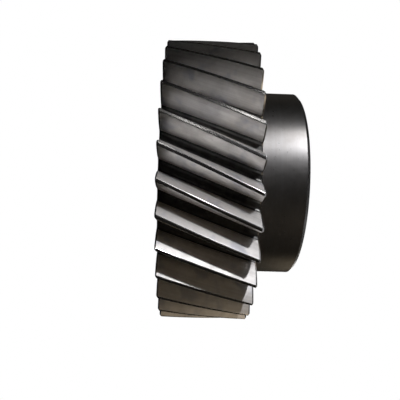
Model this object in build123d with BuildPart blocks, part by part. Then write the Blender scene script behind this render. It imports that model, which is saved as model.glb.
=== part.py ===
"""Right-hand helical gear with a hub on one side, bored and keyed for a shaft.

The gear stands on its rear face. +Z runs along the bore towards the hub, and the
origin is on the bore's axis in the plane of the rear face.
"""
import os
from math import acos, asin, atan, cos, degrees, pi, radians, sin, sqrt, tan

from build123d import *

# Teeth, in millimetres and degrees. The factors are in normal modules.
tooth_count = 32
normal_module = 4.0
normal_pressure_angle = 20.0
helix_angle = 22.6
addendum_factor = 1.175
dedendum_factor = 1.75
profile_shift_factor = -0.32
root_fillet = 1.5
involute_start_height = 3.0
tip_break = 0.3
face_width = 44.0
tooth_end_chamfer_length = 0.65
tooth_end_chamfer_depth = 0.9

# Hub, bore and keyway
hub_diameter = 98.0
hub_length = 24.0
hub_end_chamfer = 1.6
hub_corner_chamfer = 1.0
bore_diameter = 60.0
bore_mouth_chamfer = 2.0
keyway_width = 18.0
keyway_depth = 4.4
keyway_corner_fillet = 0.5

# A tooth's flank is this many arcs, and its root fillet this many flats
flank_arcs = 4
fillet_flats = 3
# How far a cutter runs past the metal that it cuts
cutter_overrun = 1.0

pressure = radians(normal_pressure_angle)
helix = radians(helix_angle)
pitch_radius = tooth_count * normal_module / (2 * cos(helix))
tip_radius = pitch_radius + addendum_factor * normal_module
root_radius = pitch_radius - dedendum_factor * normal_module
lead = 2 * pi * pitch_radius / tan(helix)
transverse_pressure = atan(tan(pressure) / cos(helix))
base_radius = pitch_radius * cos(transverse_pressure)
half_pitch = pi / tooth_count
half_tooth = (pi / 2 + 2 * profile_shift_factor * tan(pressure)) / tooth_count

hub_radius = hub_diameter / 2
bore_radius = bore_diameter / 2
overall_length = face_width + hub_length


def involute(angle):
    return tan(angle) - angle


def gap_angle(radius):
    """Half the angle across a gap at this radius. Below the base circle its walls are radial."""
    wall_pressure = acos(min(1, base_radius / radius))
    return half_pitch - half_tooth - involute(transverse_pressure) + involute(wall_pressure)


def on_circle(radius, angle):
    return radius * cos(angle), radius * sin(angle)


# The fillet between a gap's wall and its floor, limited by the floor's own width
floor_angle = gap_angle(root_radius)
fillet_radius = min(root_fillet, 0.9 * floor_angle * root_radius)
fillet_circle = root_radius + fillet_radius
fillet_angle = floor_angle - asin(fillet_radius / fillet_circle)
# The flanks run from above the fillet to the edge break at the tip
fillet_end = sqrt(fillet_circle**2 - fillet_radius**2)
flank_start = max(fillet_end, root_radius + involute_start_height)
flank_end = tip_radius - tip_break


def fillet_corners():
    """Corners of the root fillet's flats, from the floor of the gap to the foot of its wall."""
    centre_x, centre_y = on_circle(fillet_circle, fillet_angle)
    first, last = fillet_angle - pi, floor_angle - 3 * pi / 2
    turns = [first + (last - first) * corner / fillet_flats for corner in range(fillet_flats + 1)]
    return [(centre_x + fillet_radius * cos(t), centre_y + fillet_radius * sin(t)) for t in turns]


def flank_points():
    """Ends and middles of the arcs of a gap's involute wall."""
    step = (flank_end - flank_start) / (2 * flank_arcs)
    radii = [flank_start + step * point for point in range(2 * flank_arcs + 1)]
    return [on_circle(radius, gap_angle(radius)) for radius in radii]


def gap_outline():
    """One gap between two teeth, across the axis, with its middle on the local X axis."""
    corners, flank = fillet_corners(), flank_points()
    Polyline(*corners, flank[0])
    for first in range(0, 2 * flank_arcs, 2):
        ThreePointArc(*flank[first : first + 3])
    # The edge break leans out at 45 degrees and runs past the tips
    spread = tip_break + cutter_overrun
    mouth_radius = flank_end + spread
    mouth_corner = on_circle(mouth_radius, gap_angle(flank_end) + spread / mouth_radius)
    Line(flank[-1], mouth_corner)
    mirror(about=Plane.XZ)
    Line(mouth_corner, (mouth_corner[0], -mouth_corner[1]))
    Line(corners[0], (corners[0][0], -corners[0][1]))


# The cutter of one gap, swept along the axis and turned by the helix
cutter_start = -cutter_overrun
cutter_length = face_width + 2 * cutter_overrun
start_turn = 360 * cutter_start / lead
with BuildPart() as gap_cutter:
    with BuildSketch(Plane.XY.offset(cutter_start).rotated((0, 0, start_turn))):
        with BuildLine():
            gap_outline()
        make_face()
    with BuildLine() as axis_path:
        Line((0, 0, cutter_start), (0, 0, cutter_start + cutter_length))
    with BuildLine() as helix_guide:
        Helix(lead, cutter_length, pitch_radius, center=(0, 0, cutter_start))
    sweep(path=axis_path.wires()[0], binormal=helix_guide.wires()[0])

with BuildPart() as gear:
    # The turned blank: tooth band, hub and bore in one section
    chamfer_start = tip_radius - tooth_end_chamfer_depth
    mouth_radius = bore_radius + bore_mouth_chamfer
    with BuildSketch(Plane.XZ):
        with BuildLine():
            Polyline(
                (bore_radius, bore_mouth_chamfer),
                (mouth_radius, 0),
                (chamfer_start, 0),
                (tip_radius, tooth_end_chamfer_length),
                (tip_radius, face_width - tooth_end_chamfer_length),
                (chamfer_start, face_width),
                (hub_radius + hub_corner_chamfer, face_width),
                (hub_radius, face_width + hub_corner_chamfer),
                (hub_radius, overall_length - hub_end_chamfer),
                (hub_radius - hub_end_chamfer, overall_length),
                (mouth_radius, overall_length),
                (bore_radius, overall_length - bore_mouth_chamfer),
                close=True,
            )
        make_face()
    revolve(axis=Axis.Z)

    # The teeth are what the gaps leave. One tooth is centred on +X at the rear face.
    with PolarLocations(0, tooth_count, start_angle=degrees(half_pitch)):
        add(gap_cutter.part, mode=Mode.SUBTRACT)

    # The keyway, through the whole bore, in line with the tooth on +Y
    keyway_floor = bore_radius + keyway_depth
    with BuildSketch() as keyway:
        with Locations((0, keyway_floor / 2)):
            Rectangle(keyway_width, keyway_floor)
        fillet(keyway.vertices().group_by(Axis.Y)[-1], keyway_corner_fillet)
    extrude(amount=overall_length, mode=Mode.SUBTRACT)

os.makedirs("parts", exist_ok=True)
gear.part.label = "helical_gear"
export_step(gear.part, "parts/helical_gear.step")
print(f"tip diameter {2 * tip_radius:.2f} mm, root diameter {2 * root_radius:.2f} mm")
print(f"volume {gear.part.volume:.0f} mm3, {len(gear.faces())} faces, valid {gear.part.is_valid}")
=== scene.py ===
import math

import bpy
from mathutils import Matrix, Vector


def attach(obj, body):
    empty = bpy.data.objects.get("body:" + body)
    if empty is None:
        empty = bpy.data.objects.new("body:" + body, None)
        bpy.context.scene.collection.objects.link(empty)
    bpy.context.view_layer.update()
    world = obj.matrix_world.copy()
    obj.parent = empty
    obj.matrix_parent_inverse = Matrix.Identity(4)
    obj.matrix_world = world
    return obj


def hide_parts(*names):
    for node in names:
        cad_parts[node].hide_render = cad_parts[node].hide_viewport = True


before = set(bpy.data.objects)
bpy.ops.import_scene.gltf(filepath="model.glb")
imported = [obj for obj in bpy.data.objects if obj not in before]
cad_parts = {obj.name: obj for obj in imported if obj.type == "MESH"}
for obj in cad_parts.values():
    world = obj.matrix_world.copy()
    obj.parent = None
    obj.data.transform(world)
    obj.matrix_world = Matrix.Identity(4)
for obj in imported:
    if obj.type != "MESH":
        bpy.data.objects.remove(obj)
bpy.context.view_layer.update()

mm = 0.001


class Wire:
    # An output socket of a node tree. Operators on it add Math nodes, node() adds any other.
    def __init__(self, tree, socket=None):
        self.tree, self.socket = tree, socket

    def node(self, kind, settings=(), inputs=(), output=0):
        made = self.tree.nodes.new(kind)
        for name, value in dict(settings).items():
            if name == "choices":
                for _ in range(value - len(made.index_switch_items)):
                    made.index_switch_items.new()
            else:
                setattr(made, name, value)
        for name, value in dict(inputs).items():
            if isinstance(value, Wire):
                self.tree.links.new(value.socket, made.inputs[name])
            else:
                made.inputs[name].default_value = value
        return Wire(self.tree, None if output is None else made.outputs[output])

    def maths(self, operation, *values):
        return self.node("ShaderNodeMath", {"operation": operation}, enumerate(values))

    def __add__(self, other):
        return self.maths("ADD", self, other)

    def __radd__(self, other):
        return self.maths("ADD", other, self)

    def __sub__(self, other):
        return self.maths("SUBTRACT", self, other)

    def __rsub__(self, other):
        return self.maths("SUBTRACT", other, self)

    def __mul__(self, other):
        return self.maths("MULTIPLY", self, other)

    def __rmul__(self, other):
        return self.maths("MULTIPLY", other, self)

    def __truediv__(self, other):
        return self.maths("DIVIDE", self, other)

    def __rtruediv__(self, other):
        return self.maths("DIVIDE", other, self)

    def __gt__(self, other):
        return self.maths("GREATER_THAN", self, other)

    def __lt__(self, other):
        return self.maths("LESS_THAN", self, other)


# The gear's sizes, in millimetres and degrees, as in its drawing
gearSizes = {
    "Teeth": 32,
    "Normal module": 4.0,
    "Normal pressure angle": 20.0,
    "Helix angle": 22.6,
    "Addendum factor": 1.175,
    "Dedendum factor": 1.75,
    "Profile shift factor": -0.32,
    "Root fillet": 1.5,
    "Tip rounding": 0.4,
    "Face width": 44.0,
    "End chamfer length": 0.65,
    "End chamfer of flanks": 0.5,
    "End chamfer of crests": 0.9,
    "Hub diameter": 98.0,
    "Hub length": 24.0,
    "Hub chamfer": 1.6,
    "Hub corner radius": 1.0,
    "Bore diameter": 60.0,
    "Bore chamfer": 2.0,
    "Keyway width": 18.0,
    "Keyway depth": 4.4,
}
# How finely the mesh follows them
gearMesh = {
    # Strips along each stretch of half a tooth gap, along the teeth and around the hub's corner
    "floor": 2, "fillet": 6, "flank": 10, "tip": 3, "crest": 3, "length": 18, "corner": 4,
    # Extra rings on the flat faces, in millimetres, and up the hub, in corner radii
    "belowRoots": 3.0, "besideBore": 10.0, "besideHub": 5.0, "upHub": 8.0,
    # Points this near are merged, in millimetres, and edges bent by more degrees stay sharp
    "mergeWithin": 0.005, "sharpAngle": 32,
}
gapStretches = ("floor", "fillet", "flank", "tip", "crest")
# A face's zone is the number of its finish in this list. The teeth need the first three in order.
finishNames = ("root", "flank", "crest", "edge", "hub", "face", "bore")


def gearTree(materials):
    tree = bpy.data.node_groups.new("helicalGear", "GeometryNodeTree")
    tree.interface.new_socket("Geometry", in_out="INPUT", socket_type="NodeSocketGeometry")
    tree.interface.new_socket("Geometry", in_out="OUTPUT", socket_type="NodeSocketGeometry")
    for name, value in gearSizes.items():
        kind = "NodeSocketInt" if isinstance(value, int) else "NodeSocketFloat"
        socket = tree.interface.new_socket(name, in_out="INPUT", socket_type=kind)
        socket.default_value = value
    start = tree.nodes.new("NodeGroupInput")
    end = tree.nodes.new("NodeGroupOutput")
    wire = Wire(tree)

    def size(name):
        return Wire(tree, start.outputs[name])

    def sin(angle):
        return wire.maths("SINE", angle)

    def cos(angle):
        return wire.maths("COSINE", angle)

    def tan(angle):
        return wire.maths("TANGENT", angle)

    def share(value, first, last):
        return wire.node("ShaderNodeMapRange", {}, {0: value, 1: first, 2: last, 3: 0.0, 4: 1.0})

    def blend(where, first, last):
        return first + (last - first) * where

    def pick(test, whenFalse, whenTrue, kind="FLOAT"):
        return wire.node("GeometryNodeSwitch", {"input_type": kind},
                         {0: test, 1: whenFalse, 2: whenTrue})

    def vector(x, y, z):
        return wire.node("ShaderNodeCombineXYZ", {}, {0: x, 1: y, 2: z})

    def raised(place, z):
        return wire.node("ShaderNodeVectorMath", {"operation": "ADD"},
                         {0: place, 1: vector(0.0, 0.0, z)})

    def turned(place, angle):
        return wire.node("ShaderNodeVectorRotate", {"rotation_type": "Z_AXIS"},
                         {0: place, 3: angle})

    # The gear's own geometry, from its drawing sizes
    module = size("Normal module") * mm
    pressure = wire.maths("RADIANS", size("Normal pressure angle"))
    helix = wire.maths("RADIANS", size("Helix angle"))
    teeth = size("Teeth") * 1.0
    pitchRadius = teeth * module / (2.0 * cos(helix))
    tipRadius = pitchRadius + size("Addendum factor") * module
    rootRadius = pitchRadius - size("Dedendum factor") * module
    turnPerLength = tan(helix) / pitchRadius
    transverse = wire.maths("ARCTANGENT", tan(pressure) / cos(helix))
    baseRadius = pitchRadius * cos(transverse)
    halfPitch = math.pi / teeth
    shiftTurn = 2.0 * size("Profile shift factor") * tan(pressure)
    halfTooth = (math.pi / 2 + shiftTurn) / teeth

    def involute(angle):
        return tan(angle) - angle

    def pressureAt(radius):
        return wire.maths("ARCCOSINE", wire.maths("MINIMUM", 1.0, baseRadius / radius))

    gapAtBase = halfPitch - halfTooth - involute(transverse)

    def gapAngle(radius):
        return gapAtBase + involute(pressureAt(radius))

    faceWidth = size("Face width") * mm
    filletRadius = size("Root fillet") * mm
    filletCircle = rootRadius + filletRadius
    filletAngle = gapAtBase - wire.maths("ARCSINE", filletRadius / filletCircle)
    filletEnd = wire.maths("SQRT", filletCircle * filletCircle - filletRadius * filletRadius)
    tipRounding = size("Tip rounding") * mm
    chamferLength = size("End chamfer length") * mm
    endInset = size("End chamfer of flanks") * mm
    endDrop = size("End chamfer of crests") * mm

    # One pitch is a strip of columns from crest to crest, with the gap in its middle
    half = sum(gearMesh[part] for part in gapStretches)
    columns = 2 * half + 1

    def grid(rows):
        # A point's number becomes its column and its row
        mesh = wire.node("GeometryNodeMeshGrid", {}, {"Vertices X": columns, "Vertices Y": rows})
        index = wire.node("GeometryNodeInputIndex") * 1.0
        column = wire.maths("FLOOR", (index + 0.5) / rows)
        return mesh, column, index - column * rows

    def outline(column, inset, drop):
        # Across the axis, the outline of one gap. inset moves it into the metal, drop lowers
        # its crests.
        along = wire.maths("ABSOLUTE", column - half)
        side = wire.maths("SIGN", column - half)
        begins, where, first = {}, {}, 0
        for part in gapStretches:
            begins[part] = first
            where[part] = share(along, first, first + gearMesh[part])
            first += gearMesh[part]
        radius, angle = rootRadius - inset, filletAngle * where["floor"]
        # The fillet turns from the floor to the foot of the flank, around its own centre
        turn = blend(where["fillet"], filletAngle - math.pi, gapAtBase - 1.5 * math.pi)
        filletX = filletCircle * cos(filletAngle) + (filletRadius + inset) * cos(turn)
        filletY = filletCircle * sin(filletAngle) + (filletRadius + inset) * sin(turn)
        # A parallel of an involute is the same involute, turned about the axis
        top = tipRadius - drop
        lean = pressureAt(top)
        flankTop = top - tipRounding * (1.0 - sin(lean))
        flankRadius = blend(where["flank"], filletEnd, flankTop)
        shift = inset / baseRadius
        edge = gapAngle(flankTop) + shift
        roll = blend(where["tip"], lean, math.pi / 2)
        roundRadius = top - tipRounding * (1.0 - sin(roll))
        roundAngle = edge + tipRounding * (cos(lean) - cos(roll)) / top
        crestStart = edge + tipRounding * cos(lean) / top
        for part, partRadius, partAngle in (
            ("flank", flankRadius, gapAngle(flankRadius) + shift),
            ("tip", roundRadius, roundAngle),
            ("crest", top, blend(where["crest"], crestStart, halfPitch)),
        ):
            beyond = along > begins[part]
            radius, angle = pick(beyond, radius, partRadius), pick(beyond, angle, partAngle)
        onFillet = (along > begins["fillet"]) * (along < begins["flank"] + 0.5)
        x = pick(onFillet, radius * cos(angle), filletX)
        y = pick(onFillet, radius * sin(angle), filletY)
        return vector(x, y * side, 0.0)

    def zoned(mesh, zone):
        # The zone of a face is settled here, because the columns' numbers are lost later
        return wire.node("GeometryNodeStoreNamedAttribute", {"data_type": "INT", "domain": "FACE"},
                         {"Geometry": mesh, "Name": "zone", "Value": zone})

    def onFaces(field):
        return wire.node("GeometryNodeFieldOnDomain", {"data_type": "FLOAT", "domain": "POINT"},
                         {0: field})

    def placed(mesh, place):
        return wire.node("GeometryNodeSetPosition", {}, {"Geometry": mesh, "Position": place})

    # The toothed band: its outline at every height, twisted by the helix, chamfered at both ends
    rows = gearMesh["length"] + 2
    mesh, column, row = grid(rows)
    atEnd = wire.maths("ABSOLUTE", row - (rows - 1) / 2) > (rows - 2) / 2
    z = blend(share(row, 1, rows - 2), chamferLength, faceWidth - chamferLength)
    z = pick(row < 0.5, z, 0.0)
    z = pick(row > rows - 1.5, z, faceWidth)
    place = raised(outline(column, endInset * atEnd, endDrop * atEnd), z)
    place = turned(place, halfPitch + turnPerLength * z)
    alongFace = wire.maths("ABSOLUTE", onFaces(column) - half)
    flankFrom = gearMesh["floor"] + gearMesh["fillet"]
    zone = (alongFace > flankFrom) + (alongFace > flankFrom + gearMesh["flank"])
    endFace = wire.maths("ABSOLUTE", onFaces(row) - (rows - 1) / 2) > (rows - 2.5) / 2
    zone = pick(endFace, zone, float(finishNames.index("edge")))
    band = placed(zoned(mesh, zone), place)

    # Everything turned: rear face, bore, hub and front face, as rings of one radius, height and
    # finish. The first and the last ring become the band's two end outlines.
    overall = faceWidth + size("Hub length") * mm
    hubRadius = size("Hub diameter") * mm / 2.0
    hubChamfer = size("Hub chamfer") * mm
    corner = size("Hub corner radius") * mm
    boreRadius = size("Bore diameter") * mm / 2.0
    boreChamfer = size("Bore chamfer") * mm
    underTeeth = rootRadius - gearMesh["belowRoots"] * mm
    besideBore = boreRadius + gearMesh["besideBore"] * mm
    rings = [
        (underTeeth, 0.0, "face"),
        (underTeeth, 0.0, "face"),
        (besideBore, 0.0, "face"),
        (boreRadius + boreChamfer, 0.0, "face"),
        (boreRadius, boreChamfer, "edge"),
        (boreRadius, overall / 2.0, "bore"),
        (boreRadius, overall - boreChamfer, "bore"),
        (boreRadius + boreChamfer, overall, "edge"),
        (besideBore, overall, "face"),
        (hubRadius - hubChamfer, overall, "face"),
        (hubRadius, overall - hubChamfer, "edge"),
        (hubRadius, faceWidth + corner * gearMesh["upHub"], "hub"),
        (hubRadius, faceWidth + corner, "hub"),
    ]
    for step in range(1, gearMesh["corner"] + 1):
        turn = math.pi / 2 * step / gearMesh["corner"]
        rings.append((hubRadius + corner * (1 - math.cos(turn)),
                      faceWidth + corner * (1 - math.sin(turn)), "hub"))
    rings += [
        (hubRadius + gearMesh["besideHub"] * mm, faceWidth, "face"),
        (underTeeth, faceWidth, "face"),
        (underTeeth, faceWidth, "face"),
    ]
    rows = len(rings)
    mesh, column, row = grid(rows)

    def byRow(number, values):
        choices = {n: value for n, value in enumerate(values, 1)}
        return wire.node("GeometryNodeIndexSwitch", {"data_type": "FLOAT", "choices": len(values)},
                         {0: wire.maths("ROUND", number), **choices})

    radius, z = (byRow(row, [ring[part] for ring in rings]) for part in range(2))
    # The front outline is reached from the nearest gap, so the faces between are not sheared far
    pitchTurn = turnPerLength * faceWidth
    wholePitches = wire.maths("ROUND", pitchTurn / (2.0 * halfPitch)) * 2.0 * halfPitch
    turn = pick(row > rows - 2.5, 0.0, pitchTurn - wholePitches)
    angle = (column / (columns - 1) * 2.0 - 1.0) * halfPitch
    onRing = vector(radius * cos(angle), radius * sin(angle), 0.0)
    atEnd = (row < 0.5) + (row > rows - 1.5)
    place = raised(pick(atEnd, onRing, outline(column, endInset, endDrop), "VECTOR"), z)
    place = turned(place, halfPitch + turn)
    # A face takes the finish of its later ring
    zone = byRow(onFaces(row) + 0.5, [float(finishNames.index(ring[2])) for ring in rings])
    rest = wire.node("GeometryNodeFlipFaces", {}, {0: placed(zoned(mesh, zone), place)})

    # One pitch, repeated around the axis and made one skin
    pitch = wire.node("GeometryNodeJoinGeometry")
    for part in (rest, band):
        tree.links.new(part.socket, pitch.socket.node.inputs[0])
    count = wire.node("GeometryNodePoints", {}, {"Count": size("Teeth")})
    around = wire.node("GeometryNodeInputIndex") * 2.0 * halfPitch
    turns = wire.node("FunctionNodeEulerToRotation", {}, {0: vector(0.0, 0.0, around)})
    copies = wire.node("GeometryNodeInstanceOnPoints", {},
                       {"Points": count, "Instance": pitch, "Rotation": turns})
    skin = wire.node("GeometryNodeRealizeInstances", {}, {0: copies})
    skin = wire.node("GeometryNodeMergeByDistance", {},
                     {"Geometry": skin, "Distance": gearMesh["mergeWithin"] * mm})

    # The keyway: points of the bore move out to its outline, seen from the axis
    leastRise, leastLean, beyondChamfer = 0.01, 0.0001, 1.0 * mm
    spot = wire.node("GeometryNodeInputPosition")
    x, y, z = (wire.node("ShaderNodeSeparateXYZ", {}, {0: spot}, axis) for axis in range(3))
    radius = wire.maths("SQRT", x * x + y * y)
    rise = wire.maths("MAXIMUM", y / radius, leastRise)
    lean = wire.maths("MAXIMUM", wire.maths("ABSOLUTE", x / radius), leastLean)
    toFloor = (boreRadius + size("Keyway depth") * mm) / rise
    toWall = size("Keyway width") * mm / 2.0 / lean
    outTo = wire.maths("MAXIMUM", radius, wire.maths("MINIMUM", toFloor, toWall))
    stretch = outTo / radius
    bored = (radius < boreRadius + boreChamfer + beyondChamfer) * (y > 0.0)
    keyed = vector(x * stretch, y * stretch, z)
    skin = wire.node("GeometryNodeSetPosition", {},
                     {"Geometry": skin, "Selection": bored, "Position": keyed})

    sharp = wire.node("GeometryNodeInputMeshEdgeAngle") > math.radians(gearMesh["sharpAngle"])
    skin = wire.node("GeometryNodeSetShadeSmooth", {"domain": "EDGE"},
                     {"Geometry": skin, "Selection": sharp, "Shade Smooth": False})
    skin = wire.node("GeometryNodeRealizeInstances", {}, {0: skin})
    zone = wire.node("GeometryNodeInputNamedAttribute", {"data_type": "INT"}, {"Name": "zone"})
    skin = wire.node("GeometryNodeSetMaterial", {}, {"Geometry": skin, "Material": materials[0]})
    for number, material in enumerate(materials[1:], 1):
        same = wire.maths("COMPARE", zone, float(number), 0.1)
        skin = wire.node("GeometryNodeSetMaterial", {},
                         {"Geometry": skin, "Selection": same, "Material": material})
    tree.links.new(skin.socket, end.inputs[0])
    return tree


def plainMesh(name, tree, sizes):
    # Runs the tree with these sizes and keeps the result as a plain mesh
    piece = bpy.data.objects.new(name, bpy.data.meshes.new(name))
    bpy.context.scene.collection.objects.link(piece)
    modifier = piece.modifiers.new(name, "NODES")
    modifier.node_group = tree
    for item in tree.interface.items_tree:
        if item.in_out == "INPUT" and item.name in sizes:
            modifier[item.identifier] = sizes[item.name]
    evaluated = piece.evaluated_get(bpy.context.evaluated_depsgraph_get())
    made = bpy.data.meshes.new_from_object(evaluated)
    made.materials.pop(index=0)
    piece.modifiers.clear()
    piece.data = made
    made.name = name
    return piece


# The finishes. path says how the tool ran: along the teeth, around a turned side or across a
# faced end. lineWidth, lineLength, lineDepth, film, blot and grain are the sizes of the marks in
# millimetres. uneven is how far the roughness strays, blots how strong the stains are, and worn
# how bright the teeth are rubbed near their tips.
steelLook = {
    "flank": {
        "path": "teeth", "light": (0.95, 0.93, 0.91), "dark": (0.76, 0.74, 0.72),
        "stain": (0.40, 0.43, 0.52), "roughness": 0.60, "uneven": 0.10,
        "lineWidth": 0.34, "lineLength": 60.0, "lineDepth": 0.004,
        "film": 7.0, "blot": 10.0, "blots": 0.45, "grain": 0.9, "worn": 0.10,
    },
    "crest": {
        "path": "turned", "light": (0.88, 0.87, 0.86), "dark": (0.66, 0.65, 0.64),
        "stain": (0.42, 0.42, 0.45), "roughness": 0.21, "uneven": 0.012,
        "lineWidth": 0.40, "lineLength": 30.0, "lineDepth": 0.00005,
        "film": 6.0, "blot": 9.0, "blots": 0.3, "grain": 0.7, "worn": 0.0,
    },
    # The roots' dark colour is painted shade in the bottoms of the tooth gaps, far darker than the
    # flanks' steel.
    "root": {
        "path": "teeth", "light": (0.18, 0.18, 0.17), "dark": (0.10, 0.10, 0.10),
        "stain": (0.05, 0.05, 0.06), "roughness": 0.45, "uneven": 0.12,
        "lineWidth": 0.7, "lineLength": 30.0, "lineDepth": 0.002,
        "film": 5.0, "blot": 8.0, "blots": 0.5, "grain": 0.8, "worn": 0.0,
    },
    "edge": {
        "path": "turned", "light": (0.30, 0.30, 0.30), "dark": (0.20, 0.20, 0.20),
        "stain": (0.14, 0.14, 0.15), "roughness": 0.30, "uneven": 0.06,
        "lineWidth": 0.3, "lineLength": 10.0, "lineDepth": 0.0008,
        "film": 3.0, "blot": 6.0, "blots": 0.3, "grain": 0.6, "worn": 0.0,
    },
    "hub": {
        "path": "turned", "light": (0.66, 0.65, 0.65), "dark": (0.58, 0.56, 0.55),
        "stain": (0.46, 0.44, 0.42), "roughness": 0.29, "uneven": 0.025,
        "lineWidth": 0.30, "lineLength": 30.0, "lineDepth": 0.0005,
        "film": 2.4, "blot": 9.0, "blots": 0.30, "grain": 0.55, "worn": 0.0,
    },
    "face": {
        "path": "faced", "light": (0.62, 0.61, 0.60), "dark": (0.46, 0.45, 0.44),
        "stain": (0.30, 0.29, 0.28), "roughness": 0.34, "uneven": 0.08,
        "lineWidth": 0.45, "lineLength": 40.0, "lineDepth": 0.002,
        "film": 5.0, "blot": 12.0, "blots": 0.35, "grain": 0.6, "worn": 0.0,
    },
    "bore": {
        "path": "turned", "light": (0.66, 0.65, 0.64), "dark": (0.50, 0.49, 0.48),
        "stain": (0.34, 0.33, 0.32), "roughness": 0.24, "uneven": 0.06,
        "lineWidth": 0.25, "lineLength": 60.0, "lineDepth": 0.0006,
        "film": 6.0, "blot": 14.0, "blots": 0.25, "grain": 0.5, "worn": 0.0,
    },
}
# What all finishes share. A pair says where a pattern starts to show and where it is full.
steelMarks = {
    "bandScale": 0.16, "filmLevels": (0.35, 0.68), "blotLevels": (0.52, 0.70),
    "shadeLevels": (0.36, 0.66), "shadeByLines": 0.55, "shadeByFilm": 0.45,
    "roughByLines": 0.8, "bumpByGrain": 0.5,
    # The rubbed tip, in millimetres below the crest, how ragged its limit is and how light it gets
    "tipLevels": (2.2, 0.2), "tipRagged": 1.2, "tipLight": 1.25,
}


def steel(name):
    look = steelLook[name]
    material = bpy.data.materials.new(name + "Steel")
    material.use_nodes = True
    tree = material.node_tree
    shader = tree.nodes["Principled BSDF"]
    wire = Wire(tree)

    def noise(place, scale, detail, rough=0.55):
        return wire.node("ShaderNodeTexNoise", {},
                         {"Vector": place, "Scale": scale, "Detail": detail, "Roughness": rough})

    def between(value, low, high):
        return wire.node("ShaderNodeMapRange", {"interpolation_type": "SMOOTHSTEP"},
                         {0: value, 1: low, 2: high})

    def mixed(share, first, second):
        return wire.node("ShaderNodeMix", {"data_type": "RGBA"}, {0: share, 6: first, 7: second}, 2)

    spot = wire.node("ShaderNodeTexCoord", output="Object")
    inMm = wire.node("ShaderNodeVectorMath", {"operation": "SCALE"}, {0: spot, "Scale": 1 / mm})
    x, y, z = (wire.node("ShaderNodeSeparateXYZ", {}, {0: inMm}, axis) for axis in range(3))
    radius = wire.maths("SQRT", x * x + y * y)
    helix = math.radians(gearSizes["Helix angle"])
    pitchRadius = gearSizes["Teeth"] * gearSizes["Normal module"] / 2 / math.cos(helix)

    # The lines that the tool left: fine across its path, long along it
    if look["path"] == "teeth":
        untwisted = wire.node("ShaderNodeVectorRotate", {"rotation_type": "Z_AXIS"},
                              {0: inMm, 3: z * -(math.tan(helix) / pitchRadius)})
        u, v = (wire.node("ShaderNodeSeparateXYZ", {}, {0: untwisted}, axis) for axis in range(2))
        path = (u / look["lineWidth"], v / look["lineWidth"], z / look["lineLength"])
    else:
        across = z if look["path"] == "turned" else radius
        path = (across / look["lineWidth"], x / look["lineLength"], y / look["lineLength"])
    path = wire.node("ShaderNodeCombineXYZ", {}, enumerate(path))
    lines = noise(path, 1.0, detail=4.0, rough=0.65)
    bands = noise(path, steelMarks["bandScale"], detail=2.0)

    # What lies over them: an oily film, stains and a fine grain
    film = noise(inMm, 1 / look["film"], detail=4.0, rough=0.6)
    film = between(film, *steelMarks["filmLevels"])
    blots = noise(inMm, 1 / look["blot"], detail=2.0)
    blots = between(blots, *steelMarks["blotLevels"]) * look["blots"]
    grain = noise(inMm, 1 / look["grain"], detail=2.0, rough=0.6)

    shade = between(lines * 0.5 + bands * 0.5, *steelMarks["shadeLevels"])
    shade = shade * steelMarks["shadeByLines"] + film * steelMarks["shadeByFilm"]
    colour = mixed(shade, (*look["light"], 1), (*look["dark"], 1))
    colour = mixed(blots, colour, (*look["stain"], 1))
    if look["worn"]:
        # The teeth are rubbed brighter near their tips
        tip = gearSizes["Normal module"] * gearSizes["Addendum factor"] + pitchRadius
        below = [tip - depth for depth in steelMarks["tipLevels"]]
        height = between(radius + (grain - 0.5) * steelMarks["tipRagged"], *below)
        rubbed = [min(1, part * steelMarks["tipLight"]) for part in look["light"]]
        colour = mixed(height * look["worn"], colour, (*rubbed, 1))
    uneven = look["uneven"]
    rough = look["roughness"] + (film - 0.5) * uneven
    rough = rough + (lines - 0.5) * uneven * steelMarks["roughByLines"] + (grain - 0.5) * uneven
    relief = lines + grain * steelMarks["bumpByGrain"]
    bump = wire.node("ShaderNodeBump", {},
                     {"Strength": 1.0, "Distance": look["lineDepth"] * mm, "Height": relief})
    for socket, value in (("Base Color", colour), ("Roughness", rough), ("Normal", bump)):
        tree.links.new(value.socket, shader.inputs[socket])
    shader.inputs["Metallic"].default_value = 1.0
    return material


finishes = [steel(name) for name in finishNames]
print("finishes:", ", ".join(finishNames))
gear = plainMesh("helicalGear", gearTree(finishes), gearSizes)
print("gear:", len(gear.data.vertices), "points,", len(gear.data.polygons), "faces")
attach(gear, "root")
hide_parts("helical_gear")

# The floor is white to the eye and dark to the gear, so that the gear mirrors a dark bench
floorLook = {"side": 6.0, "gap": 0.05 * mm, "white": 1.0, "grey": 0.02}
floorMesh = bpy.data.meshes.new("floor")
reach = floorLook["side"] / 2
corners = [(-reach, -reach, 0), (reach, -reach, 0), (reach, reach, 0), (-reach, reach, 0)]
floorMesh.from_pydata(corners, [], [(0, 1, 2, 3)])
floor = bpy.data.objects.new("floor", floorMesh)
floor.location.z = -floorLook["gap"]
bpy.context.scene.collection.objects.link(floor)
floorPaint = bpy.data.materials.new("floorPaint")
floorPaint.use_nodes = True
tree = floorPaint.node_tree
tree.nodes.clear()
wire = Wire(tree)
seen = wire.node("ShaderNodeLightPath", output="Is Camera Ray")
dark = wire.node("ShaderNodeBsdfDiffuse", {}, {"Color": (floorLook["grey"],) * 3 + (1,)})
white = wire.node("ShaderNodeEmission", {},
                  {"Color": (1, 1, 1, 1), "Strength": floorLook["white"]})
paint = wire.node("ShaderNodeMixShader", {}, {0: seen, 1: dark, 2: white})
wire.node("ShaderNodeOutputMaterial", {}, {"Surface": paint}, None)
floorMesh.materials.append(floorPaint)
print("floor: done")

# Light. around and above are degrees, from the camera's side of the gear and from the floor.
# power is the light that reaches the gear, whatever the kind and size of the lamp.
towardCamera = -92.3
middle = Vector((0, 0, 0.03))
away = 1.0


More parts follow.
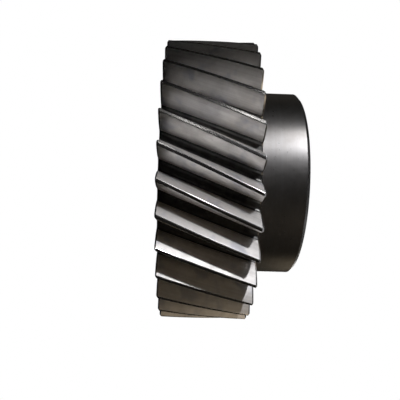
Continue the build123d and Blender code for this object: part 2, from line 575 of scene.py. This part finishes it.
def addLight(name, kind, look):
    around = math.radians(towardCamera + look["around"])
    above = math.radians(look["above"])
    side = Vector((math.cos(around) * math.cos(above), math.sin(around) * math.cos(above),
                   math.sin(above)))
    beside = Vector((-math.sin(around), math.cos(around), 0)) * look.get("aim", 0.0)
    spread = 4.0 if kind == "SPOT" else 1.0  # a spot's energy counts for a whole sphere
    lamp = bpy.data.lights.new(name, kind)
    lamp.color = look["tint"]
    lamp.energy = look["power"] * math.pi * away ** 2 * spread
    light = bpy.data.objects.new(name, lamp)
    light.location = middle + side * away
    light.rotation_mode = "QUATERNION"
    light.rotation_quaternion = (beside - side * away).to_track_quat("-Z", "Y")
    light.visible_camera = False
    bpy.context.scene.collection.objects.link(light)
    return lamp


# The key has a soft-edged beam, aimed to one side so that it fades over the far teeth. aim,
# reach and radius are metres: how far aside, the beam at the gear, and the lamp.
keyLight = {
    "around": -46, "above": 28, "aim": 0.098, "reach": 0.100, "softEdge": 0.30,
    "radius": 0.022, "power": 1.5, "tint": (0.97, 0.97, 1.0),
}
key = addLight("key", "SPOT", keyLight)
key.spot_size = 2 * math.atan(keyLight["reach"] / away)
key.spot_blend = keyLight["softEdge"]
key.shadow_soft_size = keyLight["radius"]

softboxes = {
    "front": {"around": -58, "above": 20, "width": 0.20, "height": 0.20,
              "power": 0.11, "tint": (1.0, 0.98, 0.96)},
    "glint": {"around": -43, "above": 3, "width": 0.15, "height": 0.10,
              "power": 0.07, "tint": (1.0, 0.99, 0.97)},
    "window": {"around": -70, "above": 45, "width": 0.42, "height": 0.42,
               "power": 0.05, "tint": (0.93, 0.96, 1.0)},
    "warm": {"around": 60, "above": 48, "width": 0.40, "height": 0.40,
             "power": 0.36, "tint": (1.0, 0.82, 0.60)},
    "below": {"around": 125, "above": 30, "width": 0.65, "height": 0.65,
              "power": 0.05, "tint": (1.0, 0.82, 0.56)},
    "behind": {"around": 180, "above": 20, "width": 0.65, "height": 0.65,
               "power": 1.2, "tint": (1.0, 0.97, 0.94)},
    "overhead": {"around": 180, "above": 48, "width": 0.65, "height": 0.65,
                 "power": 0.5, "tint": (0.98, 0.98, 1.0)},
}
for name, box in softboxes.items():
    lamp = addLight(name, "AREA", box)
    lamp.shape, lamp.size, lamp.size_y = "RECTANGLE", box["width"], box["height"]

# The room is white to the eye, but lights the gear dimly, and a little more from the back
room = {
    "white": 1.0, "front": 0.006, "back": 0.02, "backTint": (1.0, 0.93, 0.80, 1),
    "backStarts": -0.2, "backFull": -0.7,
}
world = bpy.data.worlds.new("studio")
bpy.context.scene.world = world
world.use_nodes = True
tree = world.node_tree
tree.nodes.clear()
wire = Wire(tree)
seen = wire.node("ShaderNodeLightPath", output="Is Camera Ray")
ray = wire.node("ShaderNodeTexCoord", output="Generated")
forward = (math.cos(math.radians(towardCamera)), math.sin(math.radians(towardCamera)), 0)
facing = wire.node("ShaderNodeVectorMath", {"operation": "DOT_PRODUCT"},
                   {0: ray, 1: forward}, "Value")
behind = wire.node("ShaderNodeMapRange", {"interpolation_type": "SMOOTHSTEP"},
                   {0: facing, 1: room["backStarts"], 2: room["backFull"]})
glow = wire.node("ShaderNodeBackground", {},
                 {"Color": room["backTint"], "Strength": room["front"] + behind * room["back"]})
white = wire.node("ShaderNodeBackground", {}, {"Color": (1, 1, 1, 1), "Strength": room["white"]})
surroundings = wire.node("ShaderNodeMixShader", {}, {0: seen, 1: glow, 2: white})
wire.node("ShaderNodeOutputWorld", {}, {"Surface": surroundings}, None)

view = {
    "place": (0.00079, -0.24352, 0.01624),
    "ahead": (0.04011, 0.99914, 0.01017),
    "up": (-0.99870, 0.04041, -0.03102),
    "lens": 39.0,
    "nearest": 0.01,
}
camera = bpy.data.objects.new("camera", bpy.data.cameras.new("camera"))
bpy.context.scene.collection.objects.link(camera)
ahead = Vector(view["ahead"]).normalized()
right = ahead.cross(Vector(view["up"])).normalized()
axes = Matrix((right, right.cross(ahead), -ahead)).transposed().to_4x4()
camera.matrix_world = Matrix.Translation(view["place"]) @ axes
camera.data.lens = view["lens"]
camera.data.clip_start = view["nearest"]
bpy.context.scene.camera = camera
bpy.context.scene.view_settings.view_transform = "Standard"
print("camera and light: done")
